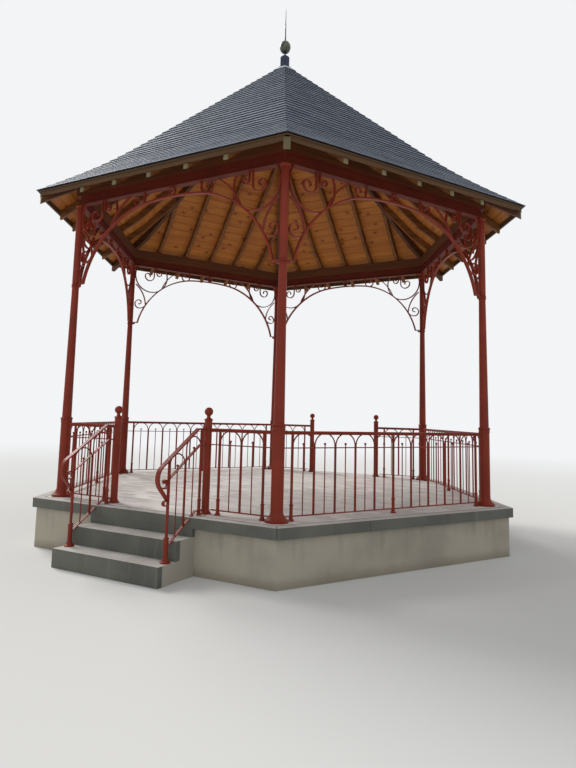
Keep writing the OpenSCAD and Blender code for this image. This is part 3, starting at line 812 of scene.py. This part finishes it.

# %% [markdown]
# Coping and steps are cast stone, grey, with tops painted paler as if lit and faces painted
# darker as if in shade. A mask made from the normal tells tops from faces. The stone of the
# steps is a slab in front of each riser. Behind it the cheeks of the stair are rendered like
# the plinth, so the steps get a finish with a second mask, made from the distance behind
# each slab's face.

# %% Cast stone
STAIR_SLAB = 0.065
STAIR_NODES = ("stair_step_1", "stair_step_2", "stair_riser_3")
SHARP = 0.001


def cheek_mask(x_normal, y, z):
    """1 on the sides of the stair behind the slabs, 0 elsewhere."""
    lows, highs = zip(*(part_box(node) for node in STAIR_NODES))
    front = y * 0 + lows[0].y
    for under, over, top in zip(lows, lows[1:], highs):
        front = front + z.between(top.z - SHARP, top.z + SHARP) * (over.y - under.y)
    behind = (y - front).between(STAIR_SLAB - SHARP, STAIR_SLAB + SHARP)
    return behind * x_normal.math("ABSOLUTE").between(0.6, 0.8)


def cast_stone(name, cheeks=False):
    finish = Finish(name)
    place = finish.place()
    x, y, z = finish.parts(place)
    x_normal, _, up = finish.parts(finish.node("ShaderNodeNewGeometry", output="Normal"))
    cloud = finish.noise(place, 2.2, 5.0)
    speck = finish.noise(place, 190.0, 3.0, 0.75)
    runs = finish.noise(finish.joined(x * 12, y * 12, z * 1.1), 1.0, 3.0)
    # The faces are painted darker as shade.
    face = finish.mixed(cloud.between(0.35, 0.68), rgb(104, 104, 96), rgb(88, 89, 83))
    streaked = finish.mixed(runs.between(0.55, 0.72) * 0.35, face, rgb(126, 125, 116))
    if cheeks:
        streaked = finish.mixed(cheek_mask(x_normal, y, z), streaked, rgb(168, 162, 150))
    # The tops are painted paler as lit, and the normal chooses between the two.
    top = finish.mixed(cloud.between(0.3, 0.7), rgb(196, 192, 186), rgb(178, 174, 168))
    lit_tops_shaded_faces = finish.mixed(up.between(0.5, 0.9), streaked, top)
    flecked = finish.mixed(speck.between(0.6, 0.85) * 0.3, lit_tops_shaded_faces, rgb(196, 192, 186))
    relief = finish.bump(speck + cloud * 2.0, 0.0012)
    return finish.surface(flecked, 0.78, relief)


stone = cast_stone("cast_stone")
stair_stone = cast_stone("stair_stone", cheeks=True)
print("stone made")

# %% [markdown]
# Each paving block has its own tone. The shader works out which block a point is on from
# the same length and width that laid them, and a white noise node turns that into a
# number. Dirt gathers in the chamfers and painted shade darkens them further, so they are
# darkened by their depth under the floor.

# %% Concrete blocks
DIRT_AND_SHADE_DEPTHS = (0.0002, 0.002)


def block_number(finish, place):
    """A number between 0 and 1 that is the same all over one block."""
    x, y, _ = finish.parts(place)
    row = (y / BLOCK_WIDTH).math("FLOOR")
    shift = row.math("FLOORED_MODULO", 2.0) * 0.5
    column = (x / BLOCK_LENGTH + shift).math("FLOOR")
    which = finish.joined(column, row, 0.0)
    return finish.node("ShaderNodeTexWhiteNoise", {"noise_dimensions": "2D"}, {"Vector": which})


def block_concrete():
    finish = Finish("block_concrete")
    place = finish.place()
    own = block_number(finish, place)
    cloud = finish.noise(place, 0.9, 4.0)
    speck = finish.noise(place, 240.0, 3.0, 0.8)
    base = finish.mixed(own, rgb(190, 187, 184), rgb(234, 230, 226))
    rosy = finish.mixed(cloud.between(0.4, 0.65) * 0.5, base, rgb(216, 208, 202))
    flecked = finish.mixed(speck.between(0.58, 0.8) * 0.45, rosy, rgb(160, 156, 152))
    _, _, z = finish.parts(place)
    # Dirt and painted shade darken the chamfers by their depth under the floor.
    dirt_and_shade = (FLOOR_Z - z).between(*DIRT_AND_SHADE_DEPTHS) * 0.95
    edged = finish.mixed(dirt_and_shade, flecked, rgb(50, 48, 47))
    return finish.surface(edged, 0.86, finish.bump(speck, 0.0012), gloss=0.3)


def joint_sand():
    finish = Finish("joint_sand")
    grains = finish.noise(finish.place(), 400.0, 2.0)
    color = finish.mixed(grains, rgb(50, 46, 42), rgb(76, 71, 65))
    return finish.surface(color, 0.95, finish.bump(grains, 0.001))


block_finish = block_concrete()
sand_finish = joint_sand()
print("floor finishes made")

# %% [markdown]
# The pine boards are honey coloured under varnish, with stretched noise for the grain and
# small dark knots. The knots come from a Voronoi pattern with only its middles kept. The
# tone changes in bands a little narrower than a board, which breaks up the regular rows.
# Over the first few centimetres up from the eave, the boards and their front edge are darker.

# %% Pine boards
TONE_BAND = 0.92 * BOARD_WIDTH
EAVE_DARK_REACH = (0.022, 0.05)


def pine_boards():
    finish = Finish("pine_boards")
    uv = finish.node("ShaderNodeUVMap", {"uv_map": "grain"})
    u, v, _ = finish.parts(uv)
    ring = finish.noise(finish.joined(u * 0.9, v * 14, 0.0), 2.2, 5.0)
    fibre = finish.noise(finish.joined(u * 2, v * 90, 0.0), 3.0, 3.0)
    band = (v / TONE_BAND).math("FLOOR")
    own = finish.node("ShaderNodeTexWhiteNoise", {"noise_dimensions": "1D"}, {"W": band})
    spots = finish.node(
        "ShaderNodeTexVoronoi",
        {"voronoi_dimensions": "2D"},
        {"Vector": finish.joined(u * 2.4, v * 3.4, 0.0), "Scale": 1.0, "Randomness": 1.0},
    )
    knot = 1 - (spots + (fibre - 0.5) * 0.04).between(0.035, 0.08)
    halo = 1 - spots.between(0.06, 0.22)
    base = finish.mixed(own, rgb(196, 126, 54), rgb(176, 106, 42))
    grained = finish.mixed(ring.between(0.42, 0.66) * 0.45, base, rgb(150, 84, 34))
    warmed = finish.mixed(halo * 0.35, grained, rgb(150, 80, 30))
    lined = finish.mixed(fibre.between(0.5, 0.75) * 0.18, warmed, rgb(132, 72, 28))
    knotted = finish.mixed(knot * 0.85, lined, rgb(74, 38, 18))
    # The boards are darker over the first few centimetres up from the eave.
    eave_darkened = finish.mixed(1 - v.between(*EAVE_DARK_REACH), knotted, rgb(76, 54, 30))
    return finish.surface(eave_darkened, 0.5, finish.bump(fibre + knot, 0.0006), gloss=0.3)


pine = pine_boards()
print("pine made, its tone in bands of", round(TONE_BAND, 3))

# %% [markdown]
# Rafters, hips and plates are stained in browns of their own, and the eave boards in a dark
# brown that paints in the shade under the slates. Grain runs away from the axis on the
# rafters, so the position is turned back to side 1 and stretched along y; on plates and eave
# boards it is stretched along x. The sawn ends at the eave were left bare and have gone
# grey, and they show as small pale squares in a row.

# %% Stained timber
TAIL_DEPTHS = (0.006, 0.003)


def stained_timber(name, light, dark, hips=False, along_side=False, tail=None, bare=None):
    """A stain. With a tail, the ends at that distance from the axis have the bare colour."""
    finish = Finish(name)
    place, number = side_place(finish, hips)
    x, y, z = finish.parts(place)
    if along_side:
        stretched = finish.joined(x * 0.8, y * 22, z * 22)
    else:
        stretched = finish.joined(x * 22 + number * 3.1, y * 0.8, z * 8)
    grain = finish.noise(stretched, 2.0, 4.0)
    cloud = finish.noise(place, 2.5, 3.0)
    color = finish.mixed(grain.between(0.4, 0.7) * 0.6 + cloud * 0.3, light, dark)
    if tail is not None:
        end = (-y).between(*(tail - depth for depth in TAIL_DEPTHS))
        color = finish.mixed(end, color, bare)
    return finish.surface(color, 0.62, finish.bump(grain, 0.0008), gloss=0.3)


_, rafter_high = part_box("rafters")
_, hip_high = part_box("hip_rafters")
rafter_stain = stained_timber(
    "rafter_stain",
    rgb(142, 92, 48),
    rgb(84, 50, 26),
    tail=rafter_high.y,
    bare=rgb(120, 110, 82),
)
hip_stain = stained_timber(
    "hip_stain",
    rgb(104, 66, 42),
    rgb(62, 38, 25),
    hips=True,
    tail=hip_high.x,
    bare=rgb(102, 92, 64),
)
plate_stain = stained_timber("plate_stain", rgb(106, 60, 31), rgb(70, 40, 21), along_side=True)
# The eave boards' brown is darkened as painted shade under the slates.
shaded_eave_stain = stained_timber("shaded_eave_stain", rgb(94, 63, 31), rgb(66, 43, 22), along_side=True)
print("rafter ends at", round(rafter_high.y, 3), "hip ends at", round(hip_high.x, 3))

# %% [markdown]
# Slate is blue grey, finely split, and has a soft sheen where light grazes it. The
# attributes made with the courses give each slate its own shade, edge faces painted almost
# black as shade, and a painted shadow, with damp, that reaches out from under the tail of
# the next slate.

# %% Slate
SHADOW_AND_DAMP_REACH = 0.2


def natural_slate():
    finish = Finish("natural_slate")
    place = finish.place()
    tone, edge, rise = (
        finish.node("ShaderNodeAttribute", {"attribute_name": name}, output="Fac")
        for name in ("tone", "edge", "rise")
    )
    cloud = finish.noise(place, 1.6, 4.0)
    split = finish.noise(place, 26.0, 5.0, 0.7)
    base = finish.mixed(tone, rgb(86, 94, 109), rgb(116, 124, 139))
    aged = finish.mixed(cloud.between(0.4, 0.7) * 0.4, base, rgb(102, 109, 120))
    veined = finish.mixed(split.between(0.55, 0.8) * 0.25, aged, rgb(140, 147, 157))
    covered = SLATE_EXPOSURE / SLATE_LENGTH
    # A painted shadow, with damp, reaches out from under the tail of the next slate.
    darkening = rise.between(covered - SHADOW_AND_DAMP_REACH, covered) * 0.85
    shadow_and_damp = finish.mixed(darkening, veined, rgb(33, 38, 49))
    # The edge faces are painted almost black as shade.
    edge_shaded = finish.mixed(edge, shadow_and_damp, rgb(28, 33, 46))
    return finish.surface(edge_shaded, 0.55 + split * 0.15, finish.bump(split, 0.0012), gloss=0.15)


slate = natural_slate()
print("slate made")

# %% [markdown]
# The pedestal is weathered zinc sheet, the lead skirt is paler, and the ball and its spike
# are bronze that has turned dull and slightly green.

# %% Metals of the finial
def weathered_metal(name, light, dark, metallic, dull):
    finish = Finish(name)
    place = finish.place()
    x, y, z = finish.parts(place)
    cloud = finish.noise(place, 9.0, 4.0)
    runs = finish.noise(finish.joined(x * 30, y * 30, z * 3), 1.0, 3.0)
    tone = finish.mixed(cloud.between(0.35, 0.65), light, dark)
    streaked = finish.mixed(runs.between(0.5, 0.7) * 0.4, tone, dark)
    relief = finish.bump(cloud, 0.001)
    return finish.surface(streaked, dull + cloud * 0.15, relief, metallic=metallic)


zinc = weathered_metal(
    "weathered_zinc", rgb(52, 64, 88), rgb(34, 43, 62), metallic=0.2, dull=0.55
)
lead_finish = weathered_metal(
    "dull_lead", rgb(200, 205, 212), rgb(172, 178, 186), metallic=0.1, dull=0.55
)
bronze = weathered_metal(
    "dull_bronze", rgb(96, 96, 78), rgb(54, 62, 66), metallic=0.6, dull=0.32
)
print("metals made")

# %% [markdown]
# Every node of the packed model now gets its finish by how its name starts, and then the
# pieces added here get theirs. The nodes keep their meshes, and only the material in their
# slot changes. The layers that were replaced have no finish in the list and need none.

# %% Put the finishes on
def dress(obj, material):
    if not obj.material_slots:
        obj.data.materials.append(material)
    for slot in obj.material_slots:
        slot.material = material


FINISHES = {
    "plinth": render_coat,
    "stair_step": stair_stone,
    "stair_riser": stair_stone,
    "stair_rail": iron,
    "column": iron,
    "railing": iron,
    "newel": iron,
    "arch": iron,
    "ring_beam": steel_in_shade,
    "wall_plates": plate_stain,
    "hip_rafters": hip_stain,
    "rafters": rafter_stain,
    "eave_boards": shaded_eave_stain,
    "king_post": rafter_stain,
    "finial_pedestal": zinc,
    "finial_ball": bronze,
}

for node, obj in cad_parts.items():
    for start, material in FINISHES.items():
        if node.startswith(start):
            dress(obj, material)

ADDED = (
    (slates, slate),
    (boards, pine),
    ([paving], block_finish),
    ([bed], sand_finish),
    ([coping], stone),
    ([lead], lead_finish),
    ([bars], iron),
)

for pieces, material in ADDED:
    for piece in pieces:
        dress(piece, material)
print("dressed", len(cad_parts), "nodes")

# %% [markdown]
# The stage is a wide pale floor under an even sky. To the camera and in reflections the sky
# is almost white, but it lights the building less, so pale stone doesn't clip. Far from
# the building the floor fades into the sky's own colour, and no horizon shows.

# %% Stage
SKY_SEEN = 0.92
SKY_COLOR = (0.97, 0.985, 1.0, 1.0)
SKY_LIGHT = 0.52
STAGE_SIZE = 120
STAGE_DROP = 0.001
FADE = (7.0, 26.0)


def stage_floor():
    bm = bmesh.new()
    bmesh.ops.create_grid(bm, x_segments=1, y_segments=1, size=STAGE_SIZE)
    floor = as_object("stage_floor", bm)
    floor.location.z = -STAGE_DROP
    finish = Finish("stage_floor")
    x, y, _ = finish.parts(finish.place())
    far = (x * x + y * y).math("SQRT").between(*FADE)
    seen = finish.node("ShaderNodeLightPath", output="Is Camera Ray")
    matt = finish.node("ShaderNodeBsdfDiffuse", inputs={"Color": rgb(226, 226, 224)})
    white = finish.node("ShaderNodeEmission", inputs={"Color": SKY_COLOR, "Strength": SKY_SEEN})
    faded = finish.node("ShaderNodeMixShader", inputs={0: far * seen, 1: matt, 2: white})
    finish.node("ShaderNodeOutputMaterial", inputs={"Surface": faded})
    dress(floor, finish.material)


def studio_world():
    """A sky that cameras and reflections see brighter than it lights the building."""
    world = bpy.data.worlds.new("studio")
    bpy.context.scene.world = world
    sky = Drawing(world)
    camera, glossy, through = (
        sky.node("ShaderNodeLightPath", output=f"Is {ray} Ray")
        for ray in ("Camera", "Glossy", "Transmission")
    )
    seen = camera.math("MAXIMUM", glossy).math("MAXIMUM", through)
    level = sky.node(
        "ShaderNodeMapRange", inputs={"Value": seen, "To Min": SKY_LIGHT, "To Max": SKY_SEEN}
    )
    light = sky.node("ShaderNodeBackground", inputs={"Color": SKY_COLOR, "Strength": level})
    sky.node("ShaderNodeOutputWorld", inputs={"Surface": light})


stage_floor()
studio_world()
print("sky", SKY_SEEN, "to the camera and", SKY_LIGHT, "as light")

# %% [markdown]
# The low sun stood behind the building, on the left. A wide soft sun from the same side
# keeps the left slopes and the treads brighter than the walls that face the camera, and a
# weak one from the camera's side fills the shade.

# %% Light
def soft_sun(name, towards, strength, spread, color):
    """A sun that stands in the direction towards, as wide as spread degrees."""
    data = bpy.data.lights.new(name, "SUN")
    data.energy = strength
    data.color = color
    data.angle = math.radians(spread)
    lamp = bpy.data.objects.new(name, data)
    bpy.context.scene.collection.objects.link(lamp)
    lamp.rotation_mode = "QUATERNION"
    lamp.rotation_quaternion = Vector(towards).to_track_quat("Z", "Y")
    return lamp


key = soft_sun(
    "key_sun", towards=(-0.74, 0.2, 0.64), strength=2.2, spread=24, color=(1.0, 0.98, 0.95)
)
fill = soft_sun(
    "fill_sun", towards=(0.35, -0.8, 0.45), strength=0.3, spread=60, color=(0.9, 0.95, 1.0)
)
print("lamps", key.name, "and", fill.name)

# %% [markdown]
# The camera stands where the photographer stood. Its place, its aim and its focal length
# came from fitting the hexagon, the stair and the eaves to the photograph. The focal
# length and the picture's optical centre are in pixels of the photograph, and the lens
# follows from them for any width of sensor.

# %% Camera
PHOTO_WIDTH = 576
PHOTO_HEIGHT = 768
FOCAL_PIXELS = 594.9
CENTRE_PIXEL = (281.9, 346.4)
EYE = Vector((4.390, -7.817, 1.021 + FLOOR_Z))
HEADING = math.radians(118.883)
PITCH = math.radians(6.778)
ROLL = math.radians(1.441)
SENSOR = 36
SIGHT = 300


def photo_camera():
    ahead = Vector(
        (
            math.cos(PITCH) * math.cos(HEADING),
            math.cos(PITCH) * math.sin(HEADING),
            math.sin(PITCH),
        )
    )
    level = Vector((math.sin(HEADING), -math.cos(HEADING), 0))
    upright = level.cross(ahead)
    right = math.cos(ROLL) * level + math.sin(ROLL) * upright
    up = math.cos(ROLL) * upright - math.sin(ROLL) * level
    data = bpy.data.cameras.new("photo_camera")
    data.sensor_width = SENSOR
    data.lens = FOCAL_PIXELS * SENSOR / PHOTO_HEIGHT
    data.shift_x = (PHOTO_WIDTH / 2 - CENTRE_PIXEL[0]) / PHOTO_HEIGHT
    data.shift_y = (CENTRE_PIXEL[1] - PHOTO_HEIGHT / 2) / PHOTO_HEIGHT
    data.clip_end = SIGHT
    camera = bpy.data.objects.new("photo_camera", data)
    bpy.context.scene.collection.objects.link(camera)
    camera.rotation_mode = "QUATERNION"
    camera.rotation_quaternion = Matrix((right, up, -ahead)).transposed().to_quaternion()
    camera.location = EYE
    bpy.context.scene.camera = camera
    return camera


camera = photo_camera()
bpy.context.scene.view_settings.view_transform = "Standard"
shift = camera.data.shift_x, camera.data.shift_y
print("lens", round(camera.data.lens, 2), "mm, shift", [round(v, 4) for v in shift])

# %% [markdown]
